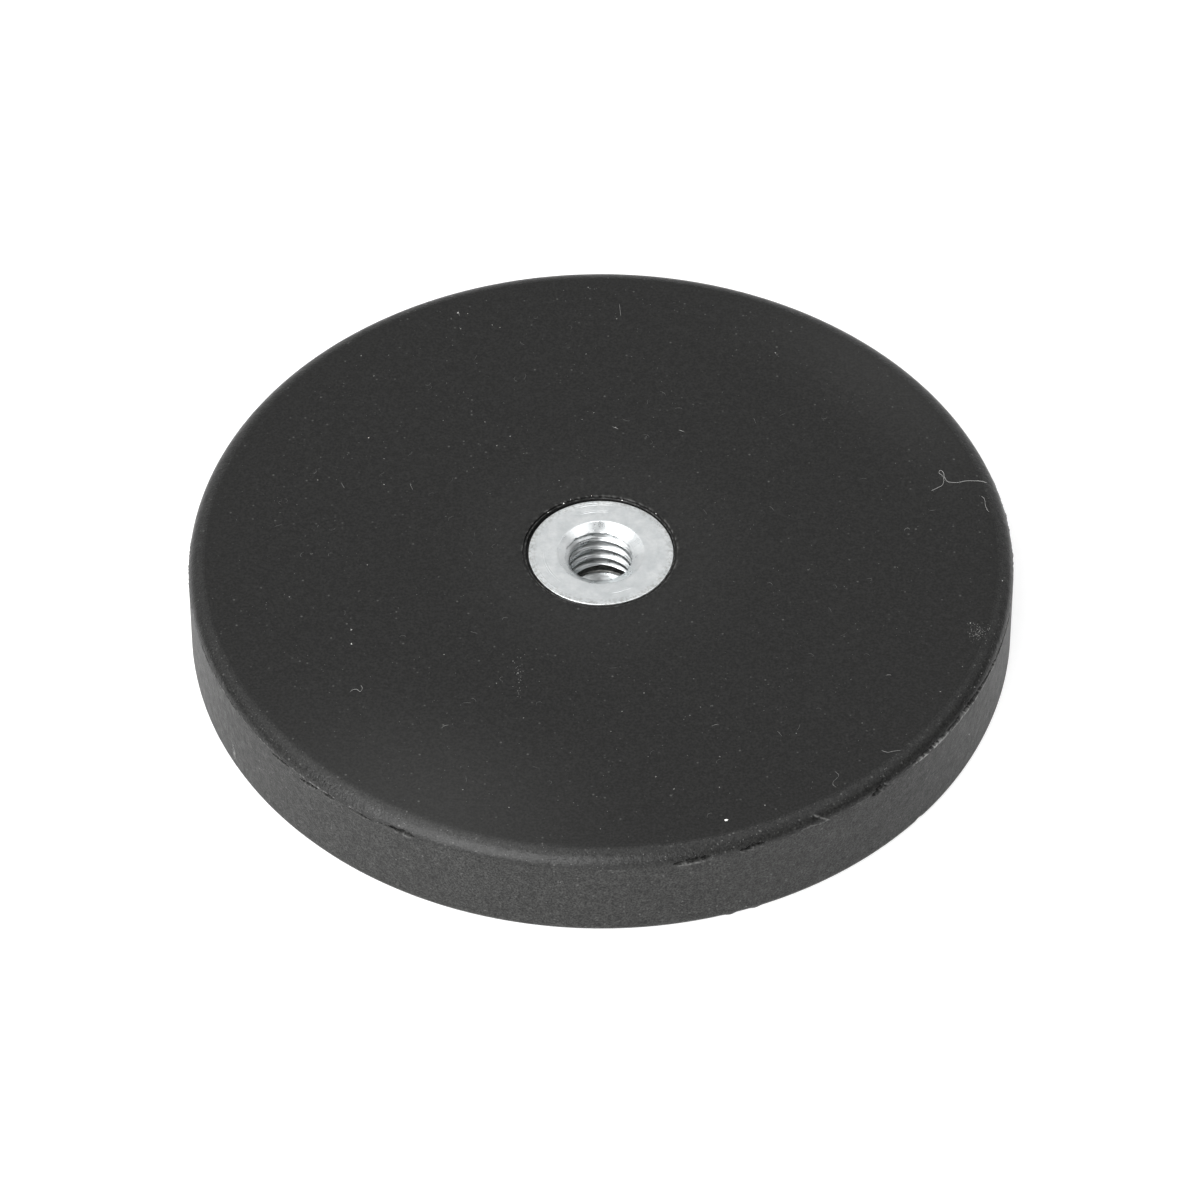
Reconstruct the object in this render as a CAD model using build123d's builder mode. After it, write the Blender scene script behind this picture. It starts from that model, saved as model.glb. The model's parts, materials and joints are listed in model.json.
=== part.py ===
from build123d import *

import os
from math import pi, radians, sin, tan

# Rubber-coated pot magnet. A steel plate carries a ring of disc magnets on its underside and a
# threaded bush staked through its middle, and a rubber jacket is moulded round all of it.
# Millimetres, +Z up. The origin is the centre of the face that holds to the work.

# Overall size
jacket_diameter = 66.0
jacket_height = 8.5

# Rubber jacket
bottom_skin = 0.8  # under the magnets, on the holding face
top_skin = 1.7  # over the steel plate
rim_wall = 2.5  # round the steel plate
bottom_edge_radius = 0.5
top_edge_radius = 1.0
seam_ledge = 0.06  # at the mould's parting line, where the cap meets the wall
mouth_gap = 0.15  # open ring between the bush head and the rubber
mouth_gap_depth = 0.5
mouth_step_width = 0.3  # shallow ring round the gap, left by the mould's core
mouth_step_depth = 0.08

# Steel plate
plate_thickness = 2.0
plate_edge_chamfer = 0.3

# Disc magnets, poles alternating round the ring, so their number is even
magnet_count = 10
magnet_gap = 1.6  # between neighbours
magnet_inset = 2.5  # from the plate's edge

# Threaded bush, M6
thread_diameter = 6.0
thread_pitch = 1.0
thread_depth = 3.9  # from the bush's face to the end of the last turn
countersink_rim = 0.45  # countersink beyond the thread, all round
countersink_angle = 120.0
relief_height = 1.5  # plain groove that the tap runs out into
relief_clearance = 0.2  # groove beyond the thread, all round
bush_floor = 0.9  # closes the bore and keeps the rubber out
bush_wall = 1.5
bush_shoulder = 1.3  # head beyond the neck, seated on the plate
bush_sink = 0.1  # bush face below the rubber
bush_edge_chamfer = 0.15
stake_overhang = 0.6  # lip turned out under the plate
stake_height = 0.6
stake_relief = 0.4  # slope under the turned lip

# Heights, from the holding face up
plate_top = jacket_height - top_skin
plate_bottom = plate_top - plate_thickness
bush_face = jacket_height - bush_sink
thread_end = bush_face - thread_depth
bore_floor = thread_end - relief_height
bush_bottom = bore_floor - bush_floor
seam_height = jacket_height - top_edge_radius

# Radii
jacket_radius = jacket_diameter / 2
cap_radius = jacket_radius - seam_ledge
plate_radius = jacket_radius - rim_wall
thread_radius = thread_diameter / 2
bore_radius = thread_radius - thread_pitch / 2
countersink_radius = thread_radius + countersink_rim
relief_radius = thread_radius + relief_clearance
neck_radius = thread_radius + bush_wall
head_radius = neck_radius + bush_shoulder
stake_radius = neck_radius + stake_overhang
mouth_gap_radius = head_radius + mouth_gap
mouth_step_radius = mouth_gap_radius + mouth_step_width

# The countersink is as deep as its angle makes it
countersink_depth = (countersink_radius - bore_radius) / tan(radians(countersink_angle / 2))

# The magnets fill the ring between the plate's inset and their own gaps
half_pitch_sine = sin(pi / magnet_count)
ring_radius = (plate_radius - magnet_inset + magnet_gap / 2) / (1 + half_pitch_sine)
magnet_radius = ring_radius * half_pitch_sine - magnet_gap / 2
magnet_thickness = plate_bottom - bottom_skin

os.makedirs("parts", exist_ok=True)

# Steel plate: a disc, deburred at its rim, that closes the magnets' field
with BuildPart() as steel_plate:
    with BuildSketch(Plane.XY.offset(plate_bottom)):
        Circle(plate_radius)
        Circle(neck_radius, mode=Mode.SUBTRACT)
    extrude(amount=plate_thickness)
    rim_edges = steel_plate.edges().filter_by(GeomType.CIRCLE).sort_by(SortBy.RADIUS)[-2:]
    chamfer(rim_edges, length=plate_edge_chamfer)

# Disc magnets, seated on the underside of the plate
magnets = []
for place in PolarLocations(ring_radius, magnet_count):
    with BuildPart() as magnet:
        with BuildSketch(Plane.XY.offset(bottom_skin)):
            with Locations(place):
                Circle(magnet_radius)
        extrude(amount=magnet_thickness)
    magnets.append(magnet)

# Outer form of the bush before boring: head, neck through the plate, and the lip staked under it
with BuildPart() as bush_blank:
    with BuildSketch(Plane.XZ):
        with BuildLine():
            Polyline(
                (0, bush_bottom),
                (neck_radius, bush_bottom),
                (neck_radius, plate_bottom - stake_height - stake_relief),
                (stake_radius, plate_bottom - stake_height),
                (stake_radius, plate_bottom),
                (neck_radius, plate_bottom),
                (neck_radius, plate_top),
                (head_radius, plate_top),
                (head_radius, bush_face - bush_edge_chamfer),
                (head_radius - bush_edge_chamfer, bush_face),
                (0, bush_face),
                close=True,
            )
        make_face()
    revolve(axis=Axis.Z)

# Threaded bush: blind bore with a countersunk mouth and a relief groove above its floor
with BuildPart() as threaded_bush:
    add(bush_blank.part)
    with BuildSketch(Plane.XZ):
        with BuildLine():
            Polyline(
                (0, bore_floor),
                (relief_radius, bore_floor),
                (relief_radius, thread_end),
                (bore_radius, thread_end),
                (bore_radius, bush_face - countersink_depth),
                (countersink_radius, bush_face),
                (0, bush_face),
                close=True,
            )
        make_face()
    revolve(axis=Axis.Z, mode=Mode.SUBTRACT)

# Rubber jacket: turned outline with its parting line, less everything it is moulded round
with BuildPart() as rubber_jacket:
    with BuildSketch(Plane.XZ):
        with BuildLine():
            holding_face = Line((0, 0), (jacket_radius - bottom_edge_radius, 0))
            bottom_edge = TangentArc(
                holding_face @ 1,
                (jacket_radius, bottom_edge_radius),
                tangent=holding_face % 1,
            )
            wall = Line(bottom_edge @ 1, (jacket_radius, seam_height))
            ledge = Line(wall @ 1, (cap_radius, seam_height))
            top_edge = TangentArc(
                ledge @ 1,
                (cap_radius - top_edge_radius, jacket_height),
                tangent=wall % 1,
            )
            top_face = Line(top_edge @ 1, (0, jacket_height))
            Line(top_face @ 1, holding_face @ 0)
        make_face()
    revolve(axis=Axis.Z)
    add(steel_plate.part, mode=Mode.SUBTRACT)
    for magnet in magnets:
        add(magnet.part, mode=Mode.SUBTRACT)
    add(bush_blank.part, mode=Mode.SUBTRACT)
    with BuildSketch(Plane.XZ):
        with BuildLine():
            Polyline(
                (0, jacket_height - mouth_gap_depth),
                (mouth_gap_radius, jacket_height - mouth_gap_depth),
                (mouth_gap_radius, jacket_height - mouth_step_depth),
                (mouth_step_radius, jacket_height - mouth_step_depth),
                (mouth_step_radius + mouth_step_depth, jacket_height),
                (0, jacket_height),
                close=True,
            )
        make_face()
    revolve(axis=Axis.Z, mode=Mode.SUBTRACT)

steel_plate.part.label = "steel_plate"
export_step(steel_plate.part, "parts/steel_plate.step")

threaded_bush.part.label = "threaded_bush"
export_step(threaded_bush.part, "parts/threaded_bush.step")

rubber_jacket.part.label = "rubber_jacket"
export_step(rubber_jacket.part, "parts/rubber_jacket.step")

for number, magnet in enumerate(magnets, start=1):
    magnet.part.label = f"magnet_{number:02d}"
    export_step(magnet.part, f"parts/{magnet.part.label}.step")
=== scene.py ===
import json
from math import atan2, cos, hypot, pi, radians, sin, tau

import bmesh
import bpy
import numpy as np
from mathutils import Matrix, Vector, noise


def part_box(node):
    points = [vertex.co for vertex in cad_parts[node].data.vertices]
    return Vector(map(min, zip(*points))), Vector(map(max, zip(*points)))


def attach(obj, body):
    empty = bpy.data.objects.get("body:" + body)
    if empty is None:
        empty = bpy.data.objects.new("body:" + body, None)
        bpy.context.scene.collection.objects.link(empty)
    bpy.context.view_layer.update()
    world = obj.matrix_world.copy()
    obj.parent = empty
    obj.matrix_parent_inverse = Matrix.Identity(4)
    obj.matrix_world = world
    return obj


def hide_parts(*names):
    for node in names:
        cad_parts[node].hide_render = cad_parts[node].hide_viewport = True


# A rubber-coated pot magnet with a threaded bush flush in its top face. The jacket and the bush are
# detailed meshes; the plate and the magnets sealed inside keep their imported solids. The scene is in
# metres, +Z up. Sizes are millimetres times mm, or stand in a list in millimetres; angles are degrees.

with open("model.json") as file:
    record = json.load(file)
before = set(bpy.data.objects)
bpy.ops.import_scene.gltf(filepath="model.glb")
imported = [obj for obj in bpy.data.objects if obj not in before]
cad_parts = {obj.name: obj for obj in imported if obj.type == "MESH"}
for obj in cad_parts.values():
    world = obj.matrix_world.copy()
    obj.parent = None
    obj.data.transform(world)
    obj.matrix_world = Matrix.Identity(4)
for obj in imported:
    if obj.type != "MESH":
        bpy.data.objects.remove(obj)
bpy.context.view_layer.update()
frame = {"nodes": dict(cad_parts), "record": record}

mm = 0.001

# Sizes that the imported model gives
jacket_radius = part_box("rubber_jacket")[1].x
jacket_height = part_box("rubber_jacket")[1].z
plate_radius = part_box("steel_plate")[1].x
magnet_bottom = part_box("magnet_01")[0].z
bush_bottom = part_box("threaded_bush")[0].z
bush_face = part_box("threaded_bush")[1].z
head_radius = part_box("threaded_bush")[1].x
thread_mount = frame["record"]["mounts"][0]
bore_radius = thread_mount["dims"]["r_mm"] * mm
bore_high = thread_mount["pos_m"][2] + thread_mount["dims"]["length_mm"] * mm / 2

# Jacket, outside
wall_inset = 0.06 * mm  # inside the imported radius, so that the flash at the seam stays within it
flash_margin = 0.002 * mm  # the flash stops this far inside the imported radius
top_edge_drop = 1.35 * mm  # the top edge is a quarter of a superellipse
top_edge_width = 1.7 * mm
top_edge_power = 2.1
bottom_edge_radius = 0.7 * mm
top_dish = 0.04 * mm  # the top face sinks this much from dish_start to dish_end
dish_start = 6.6 * mm
dish_end = 9.0 * mm
edge_sag = 0.04 * mm  # and this much more over sag_width, towards its edge
sag_start = 27 * mm
sag_width = 4.4 * mm

# Jacket, mouth round the bush, which sits a little off its middle
mouth_gap = 0.15 * mm
gap_mean = 0.9  # of mouth_gap
gap_swing = 0.7  # of mouth_gap, more at gap_widest_at and less opposite
gap_widest_at = 145
mouth_gap_depth = 0.5 * mm
mouth_step_depth = 0.08 * mm
mouth_groove_depth = 0.12 * mm  # below the step
groove_deepest_at = 110
first_bead_row = 4  # of mouth_section, where the rubber gets rough

# Bush
packed_chamfer = 0.15 * mm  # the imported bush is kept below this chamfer
thread_pitch = 1.0 * mm
thread_start = 0.72 * mm  # height of a crest's lower edge at angle 0, modulo the pitch
thread_end = 4.25 * mm  # the thread runs out into the relief here
countersink_rim = 1.0 * mm  # countersink beyond the bore, all round
countersink_top = 0.015 * mm  # its rows start this far below the face
relief_depth = 0.7 * mm  # groove beyond the bore, all round
relief_corner = 0.15 * mm
relief_lip = 0.04 * mm  # small chamfer where the thread meets the relief
bore_floor = 3.0 * mm  # at its edge, from which the drill's cone goes down
floor_slope = 0.577
floor_low = 2.4 * mm

# Worked out from the sizes above
seam_height = jacket_height - top_edge_drop
wall_radius = jacket_radius - wall_inset
gap_floor = jacket_height - mouth_gap_depth
step_floor = jacket_height - mouth_step_depth
shell_top = bush_face - packed_chamfer
countersink_radius = bore_radius + countersink_rim
relief_radius = bore_radius + relief_depth

# Meshing
pick_margin = 0.02 * mm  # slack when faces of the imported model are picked
same_corner = 0.001 * mm  # copied corners closer than this are one
weld_distance = 0.0002 * mm
shortest_edge = 0.0001 * mm
plain_turns = np.radians(np.arange(0, 360, 1.5))
bush_turns = np.linspace(0, tau, 241)  # an open ring, whose ends meet


def ripple(points, size, seed):
    """Smooth noise from about -1 to 1 at each point, with features about size across."""
    shift = Vector((seed * 17.3, seed * 5.1, seed * 9.7))
    return np.array([noise.noise(Vector(p) / size + shift) for p in points])


def smooth(x, start, end):
    """0 before start, 1 after end, and a smooth ramp between."""
    t = np.clip((x - start) / (end - start), 0, 1)
    return t * t * (3 - 2 * t)


def within(angle, start, end, ramp):
    """1 from start to end, with a smooth ramp about each."""
    return smooth(angle, start - ramp, start + ramp) * smooth(angle, end + ramp, end - ramp)


def angle_between(angle, middle):
    """How far an angle is from middle, from -180 to 180 degrees."""
    return (angle - middle + 180) % 360 - 180


def ring_points(radius, height, turns):
    """Points round Z at the given angles; radius and height are numbers or one value for each angle."""
    count = len(turns)
    radius = np.broadcast_to(radius, count)
    height = np.broadcast_to(height, count)
    return np.stack([radius * np.cos(turns), radius * np.sin(turns), height], axis=1)


def new_object(name, data):
    made = bpy.data.objects.new(name, data)
    bpy.context.scene.collection.objects.link(made)
    return made


class Surface:
    """The points and faces of one closed piece, and how pale its material is at each point."""

    def __init__(self):
        self.points = []
        self.pale = []
        self.faces = []
        self.finishes = []
        self.last = None
        self.turns = None

    def add_points(self, points, pale=0.0):
        first = len(self.points)
        self.points.extend(tuple(p) for p in points)
        made = list(range(first, len(self.points)))
        self.pale.extend(np.broadcast_to(pale, len(made)))
        return made

    def add_face(self, face, finish):
        self.faces.append(face)
        self.finishes.append(finish)

    def ring(self, radius, height, turns, finish, pale=0.0):
        """Adds a ring round Z and joins it to the last one, if there is one."""
        made = self.add_points(ring_points(radius, height, turns), pale)
        if self.last is not None and turns is self.turns:
            self.strip(self.last, made, finish, turns[-1] < tau)
        elif self.last is not None:
            self.stitch(self.last, made, finish)
        self.last = made
        self.turns = turns

    def strip(self, first, second, finish, closed):
        """Quads between two rings with as many points as each other."""
        count = len(first)
        for i in range(count if closed else count - 1):
            j = (i + 1) % count
            self.add_face((first[i], first[j], second[j], second[i]), finish)

    def stitch(self, first, second, finish):
        """Triangles between two closed rings round Z whose points are differently spaced."""
        rings = [sorted(ring, key=self.angle) for ring in (first, second)]
        turns = [[self.angle(i) for i in ring] + [self.angle(ring[0]) + tau] for ring in rings]
        never = 9 * tau
        at = [0, 0]
        while at[0] < len(first) or at[1] < len(second):
            ends = [turns[k][at[k] + 1] if at[k] < len(rings[k]) else never for k in (0, 1)]
            side = 0 if ends[0] <= ends[1] else 1
            here = [rings[k][at[k] % len(rings[k])] for k in (0, 1)]
            ahead = rings[side][(at[side] + 1) % len(rings[side])]
            self.add_face((here[0], here[1], ahead), finish)
            at[side] += 1

    def angle(self, index):
        x, y, _ = self.points[index]
        turn = atan2(y, x) % tau
        return 0.0 if turn > tau - 1e-6 else turn

    def take_faces(self, node, keep, finish):
        """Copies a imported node's faces that pass keep(radius, height); their rim is the last ring."""
        mesh = frame["nodes"][node].data
        known = {}
        edges = {}
        for polygon in mesh.polygons:
            if not keep(hypot(polygon.center.x, polygon.center.y), polygon.center.z):
                continue
            face = []
            for i in polygon.vertices:
                place = mesh.vertices[i].co
                key = tuple(round(v / same_corner) for v in place)
                if key not in known:
                    known[key] = self.add_points([place])[0]
                face.append(known[key])
            if len(set(face)) < len(face):
                continue
            self.add_face(tuple(face), finish)
            for pair in zip(face, face[1:] + face[:1]):
                edges[frozenset(pair)] = edges.get(frozenset(pair), 0) + 1
        self.last = sorted({i for edge, uses in edges.items() if uses == 1 for i in edge})

    def build(self, name, materials, sharp_angle, attribute=None):
        """Makes the Blender object. attribute is the name under which its materials find pale."""
        mesh = bpy.data.meshes.new(name)
        mesh.from_pydata(self.points, [], self.faces)
        mesh.polygons.foreach_set("material_index", self.finishes)
        if attribute:
            layer = mesh.attributes.new(attribute, "FLOAT", "POINT")
            layer.data.foreach_set("value", np.asarray(self.pale, np.float32))
        whole = bmesh.new()
        whole.from_mesh(mesh)
        bmesh.ops.remove_doubles(whole, verts=whole.verts, dist=weld_distance)
        bmesh.ops.dissolve_degenerate(whole, edges=whole.edges, dist=shortest_edge)
        bmesh.ops.recalc_face_normals(whole, faces=whole.faces)
        whole.to_mesh(mesh)
        whole.free()
        mesh.shade_smooth()
        mesh.set_sharp_from_angle(angle=radians(sharp_angle))
        for material in materials:
            mesh.materials.append(material)
        return new_object(name, mesh)


# ------ materials


class Look:
    """A new material with one Principled shader, and short ways to feed it."""

    def __init__(self, name, **inputs):
        self.material = bpy.data.materials.new(name)
        self.material.use_nodes = True
        self.tree = self.material.node_tree
        self.shader = self.tree.nodes["Principled BSDF"]
        self.feed(**inputs)
        self.place = self.add("TexCoord").outputs["Object"]

    def set(self, node, **inputs):
        """Sets a node's inputs, each to a number, a colour or another node's output."""
        for key, value in inputs.items():
            socket = node.inputs[key.replace("_", " ")]
            if isinstance(value, bpy.types.NodeSocket):
                self.tree.links.new(value, socket)
            else:
                socket.default_value = (*value, 1) if isinstance(value, tuple) else value

    def feed(self, **inputs):
        self.set(self.shader, **inputs)

    def add(self, kind, **inputs):
        node = self.tree.nodes.new("ShaderNode" + kind)
        self.set(node, **inputs)
        return node

    def noise(self, size, detail, place=None):
        inputs = dict(Scale=1 / size, Detail=detail, Roughness=0.6, Vector=place or self.place)
        return self.add("TexNoise", **inputs).outputs["Fac"]

    def cells(self, size):
        """Distance from the middle of the nearest cell, in cells, and that cell's own number, 0 to 1."""
        node = self.add("TexVoronoi", Scale=1 / size, Vector=self.place)
        split = self.add("SeparateColor", Color=node.outputs["Color"])
        return node.outputs["Distance"], split.outputs["Red"]

    def attribute(self, name):
        node = self.add("Attribute")
        node.attribute_name = name
        return node.outputs["Fac"]

    def spread(self, value, start, end, low=0.0, high=1.0):
        """low where value is at start, high where it is at end."""
        ends = dict(From_Min=start, From_Max=end, To_Min=low, To_Max=high)
        return self.add("MapRange", Value=value, **ends).outputs["Result"]

    def times(self, first, second):
        node = self.add("Math")
        node.operation = "MULTIPLY"
        self.tree.links.new(first, node.inputs[0])
        self.tree.links.new(second, node.inputs[1])
        return node.outputs["Value"]

    def mix(self, factor, first, second):
        """A colour between two, each a constant or an output."""
        node = self.add("Mix")
        node.data_type = "RGBA"
        self.set(node, Factor=factor, A=first, B=second)
        return node.outputs["Result"]

    def bump(self, height, distance, **under):
        """under is Normal=another bump, on which this one lies."""
        return self.add("Bump", Height=height, Distance=distance, **under).outputs["Normal"]

    def round_place(self):
        """Distance from the Z axis, height, and both as a texture's place that is the same all round."""
        split = self.add("SeparateXYZ", Vector=self.place)
        flat = self.add("CombineXYZ", X=split.outputs["X"], Y=split.outputs["Y"])
        length = self.add("VectorMath", Vector=flat.outputs["Vector"])
        length.operation = "LENGTH"
        turned = self.add("CombineXYZ", X=length.outputs["Value"], Y=split.outputs["Z"])
        return length.outputs["Value"], split.outputs["Z"], turned.outputs["Vector"]


# Rubber: what its finishes share
mottle_size = 0.7 * mm
fleck_size = 0.3 * mm
lump_size = 0.6 * mm
# Pale colour of scuffs and flash crumbs, also used for the painted highlights on the top face and the
# mouth's lip
scuff_and_sheen_colour = (0.40, 0.40, 0.39)
fleck_colour = (0.075, 0.075, 0.073)

# Rubber's finishes, from the top face over the ever glossier steps of the rim to the blasted wall: dark
# and light shade, specular level, roughness, size and height of the grain, share of cells with a fleck
rim_shades = ((0.004, 0.004, 0.0039), (0.024, 0.024, 0.0232))
fine_grain = (0.2 * mm, 0.006 * mm)
coarse_grain = (0.15 * mm, 0.016 * mm)
rubber_kinds = {
    "rubber_satin": ((0.008, 0.008, 0.0078), (0.019, 0.019, 0.0185), 0.175, 0.45, *fine_grain, 0.03),
    "rubber_rim_0": (*rim_shades, 0.24, 0.42, *coarse_grain, 0.1),
    "rubber_rim_1": (*rim_shades, 0.30, 0.40, *coarse_grain, 0.1),
    "rubber_rim_2": (*rim_shades, 0.32, 0.40, *coarse_grain, 0.1),
    "rubber_blasted": ((0.005, 0.005, 0.0048), (0.043, 0.043, 0.0415), 0.25, 0.5, *coarse_grain, 0.16),
}

# Zinc coat
zinc_cloud = (0.765, 0.80, 0.81)
zinc_bright = (0.84, 0.86, 0.865)
zinc_blotch = (0.66, 0.68, 0.68)
zinc_worn = (0.46, 0.46, 0.43)
worn_radii = (5.1 * mm, 5.6 * mm)  # the face's edge is worn in spots, more and more from here to there
painted_shade_heights = (7.4 * mm, 8.2 * mm)  # painted shade: the bore's colour is darker below, and as bright as the face above


def rubber(name, dark, light, specular, roughness, grain_size, grain_height, fleck_share):
    """Black rubber: mottled, finely grained and flecked, paler on scuffs and pale flash, and where a
    highlight is painted.
    """
    look = Look(name, Specular_IOR_Level=specular)
    mottle = look.spread(look.noise(mottle_size, 5), 0.3, 0.7)
    look.feed(Roughness=look.spread(mottle, 0, 1, roughness - 0.05, roughness + 0.05))
    fine = look.noise(grain_size, 2)
    shade = look.mix(look.spread(fine, 0.36, 0.64), dark, light)
    shade = look.mix(look.spread(mottle, 0, 1, 0, 0.5), shade, dark)
    distance, chance = look.cells(fleck_size)
    fleck = look.times(look.spread(distance, 0.40, 0.12), look.spread(chance, 1 - fleck_share, 1.0))
    shade = look.mix(fleck, shade, fleck_colour)
    look.feed(Base_Color=look.mix(look.attribute("scuff_and_sheen"), shade, scuff_and_sheen_colour))
    lumpy = look.bump(look.noise(lump_size, 3), 3 * grain_height)
    look.feed(Normal=look.bump(fine, grain_height, Normal=lumpy))
    return look.material


def zinc(name, ring_height, rough_low, rough_high):
    """Turned steel with a bright zinc coat: arcs of tool marks, a slight cloudiness, and painted shade down
    the bore.
    """
    look = Look(name, Metallic=1.0)
    radius, height, turned = look.round_place()
    cloud = look.noise(0.8 * mm, 5)
    tone = look.mix(look.spread(cloud, 0.35, 0.65), zinc_cloud, zinc_bright)
    blotch = look.noise(0.3 * mm, 4)
    tone = look.mix(look.spread(blotch, 0.4, 0.7, 0.0, 0.35), tone, zinc_blotch)
    worn = look.times(look.spread(radius, *worn_radii), look.spread(blotch, 0.45, 0.62))
    tone = look.mix(look.spread(worn, 0, 1, 0, 0.6), tone, zinc_worn)
    # painted shade: lower in the bore and on its floor the colour is mixed up to 0.3 towards black
    tone = look.mix(look.spread(height, *painted_shade_heights, 0.3, 0.0), tone, (0, 0, 0))
    look.feed(Base_Color=tone, Roughness=look.spread(cloud, 0.35, 0.65, rough_low, rough_high))
    bands = look.spread(look.noise(0.55 * mm, 1, turned), 0.42, 0.62)
    lines = look.spread(look.noise(0.1 * mm, 1, turned), 0.3, 0.7, -0.5, 0.5)
    arcs = look.spread(look.noise(3.0 * mm, 2), 0.45, 0.62)
    cloudy = look.bump(cloud, 0.004 * mm)
    grain = look.bump(look.noise(0.14 * mm, 2), 0.004 * mm, Normal=cloudy)
    look.feed(Normal=look.bump(look.times(look.times(lines, bands), arcs), ring_height, Normal=grain))
    return look.material


def plain_metal(name, dark, light, grain, roughness):
    """Mill-finished or plated metal, or steel that the plating hardly reached."""
    look = Look(name, Metallic=1.0, Roughness=roughness)
    cloud = look.noise(grain, 6)
    tone = look.mix(look.spread(cloud, 0.35, 0.65), dark, light)
    look.feed(Base_Color=tone, Normal=look.bump(cloud, 0.01 * mm))
    return look.material


def bush_finishes():
    """The bush's face, its bore, and the relief groove that the plating hardly reached."""
    bare_steel = plain_metal("dull_steel", (0.10, 0.10, 0.095), (0.26, 0.26, 0.25), 0.4 * mm, 0.45)
    face_zinc = zinc("zinc_face", 0.035 * mm, 0.30, 0.40)
    bore_zinc = zinc("zinc_bore", 0.006 * mm, 0.26, 0.36)
    return [face_zinc, bore_zinc, bare_steel]


def dust_material():
    """Pale grit and fibre; the shade attribute says how pale."""
    look = Look("dust", Roughness=0.8)
    shade = look.mix(look.attribute("shade"), (0.03, 0.03, 0.03), (0.85, 0.85, 0.83))
    look.feed(Base_Color=shade, Normal=look.bump(look.noise(0.03 * mm, 2), 0.004 * mm))
    return look.material


# ------ jacket

# Tears and creases along the mould's parting line: start and end in degrees, height at each end,
# how far it gapes and its depth in mm, and how much pale ragged flash stands under it
tears = [
    (196, 202, 7.42, 7.44, 0.05, 0.12, 0.1),
    (205, 211, 7.46, 7.44, 0.05, 0.12, 0.1),
    (218.6, 222.4, 7.16, 7.34, 0.12, 0.34, 0.15),
    (224.7, 228, 6.95, 7.24, 0.16, 0.45, 0.2),
    (229.2, 231, 7.22, 7.3, 0.16, 0.45, 0.1),
    (233.6, 237.5, 7.26, 7.18, 0.1, 0.32, 0.1),
    (238, 241, 7.3, 7.4, 0.07, 0.2, 0.1),
    (240.3, 244, 7.42, 7.36, 0.21, 0.55, 0.2),
    (279.7, 285.2, 7.36, 7.52, 0.22, 0.55, 0.3),
    (289.1, 292.8, 7.44, 7.56, 0.17, 0.5, 0.2),
    (309.8, 312.7, 7.4, 7.52, 0.3, 0.6, 0.1),
    (317.5, 326.5, 7.62, 7.52, 0.13, 0.35, 1),
    (326, 338, 7.52, 7.38, 0.2, 0.5, 1),
    (337.8, 341.4, 7.38, 7.32, 0.16, 0.4, 0.8),
    (341.2, 345, 7.32, 7.26, 0.14, 0.4, 0.6),
    (344.8, 350.5, 7.26, 7.2, 0.12, 0.36, 0.5),
    (262, 270.5, 7.84, 7.98, 0.05, 0.035, 0),
    (270.5, 279.3, 7.98, 7.56, 0.05, 0.035, 0),
]

# Flash under a tear, in mm: how far below the tear it is, half its height, how far it stands out
flash_gap = 0.10
flash_half_height = 0.11
flash_rise = 0.055

# Lumps of flash that stand out from the wall, and one nick in it, whose rise is negative: angle,
# height, half width in degrees, half height, rise
lumps = [
    (208.5, 1.8, 0.35, 0.32, 0.055),
    (8.7, 7.48, 0.8, 0.1, 0.055),
    (6.1, 7.5, 0.5, 0.12, 0.055),
    (1.1, 7.46, 0.7, 0.12, 0.055),
    (359.5, 7.5, 0.4, 0.1, 0.05),
    (287.8, 0.16, 0.6, 0.16, 0.13),
    (291.5, 0.16, 0.6, 0.16, 0.12),
    (290.2, 0.75, 0.25, 0.12, 0.06),
    (319.5, 0.35, 0.5, 0.2, -0.1),
]

# Spans of the parting line that carry crumbs of flash: start, end, how much. Then the line's height,
# half the crumbs' height and how far they stand out, in mm
crumbs = [(176, 236, 1.5), (296, 318, 0.6), (338, 360, 1.0), (0, 30, 0.8), (95, 130, 0.5)]
crumbs_ramp = 2
seam_line = 7.44
seam_half_height = 0.05
seam_rise = 0.04

# Scratches and pale marks on the edge: angle and height of both ends, half width in mm, how pale
scratches = [
    (300.6, 8.02, 302.4, 7.34, 0.05, 0.24),
    (301, 7.3, 302.4, 7.4, 0.04, 0.22),
    (299.4, 7.53, 301, 7.3, 0.04, 0.18),
    (296.2, 7.28, 299.4, 7.5, 0.05, 0.08),
    (301.6, 5.1, 303.4, 5.15, 0.3, 0.035),
    (302, 6.2, 303.2, 5.6, 0.25, 0.03),
    (271, 7.15, 273.2, 7.05, 0.06, 0.12),
]

# Painted highlight where the top face nears its edge, front-left and rear-right: middle and half
# width in degrees, radius in mm where it starts, how much. It is a little paler round the mouth too
painted_sheens = [(243, 22, 17, 0.026), (42, 22, 23, 0.019)]
sheen_end = 31 * mm
mouth_paling = 0.007
mouth_paling_full = 7 * mm
mouth_paling_end = 14 * mm

# Spans of the edge that carry such detail and get closer columns, in degrees
detailed_spans = [(0, 12), (176, 245), (261, 360)]
fine_step = 0.22
plain_step = 0.9

# The jacket's rings from the mouth to the middle of the holding face: radii and heights in mm, and
# tilts on its rounded edges in degrees
top_rings = [*np.arange(6.9, 10, 0.5), *np.arange(10.5, 30.1, 1.5)]
top_edge_tilts = [*np.arange(0, 54, 6), *np.arange(54, 89, 1.5)]
wall_heights = [
    *np.arange(7.15, 6.76, -0.03),
    *(6.7, 6.5, 6.0, 5.4, 4.8, 4.2, 3.6, 3.0, 2.5, 2.2, 2.0, 1.85, 1.7, 1.55, 1.4, 1.1, 0.9, 0.8),
]
bottom_edge_tilts = range(0, 91, 9)
holding_face_rings = [31.5, 28.0, 22.0, 16.0, 10.0, 5.0, 2.0]

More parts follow.
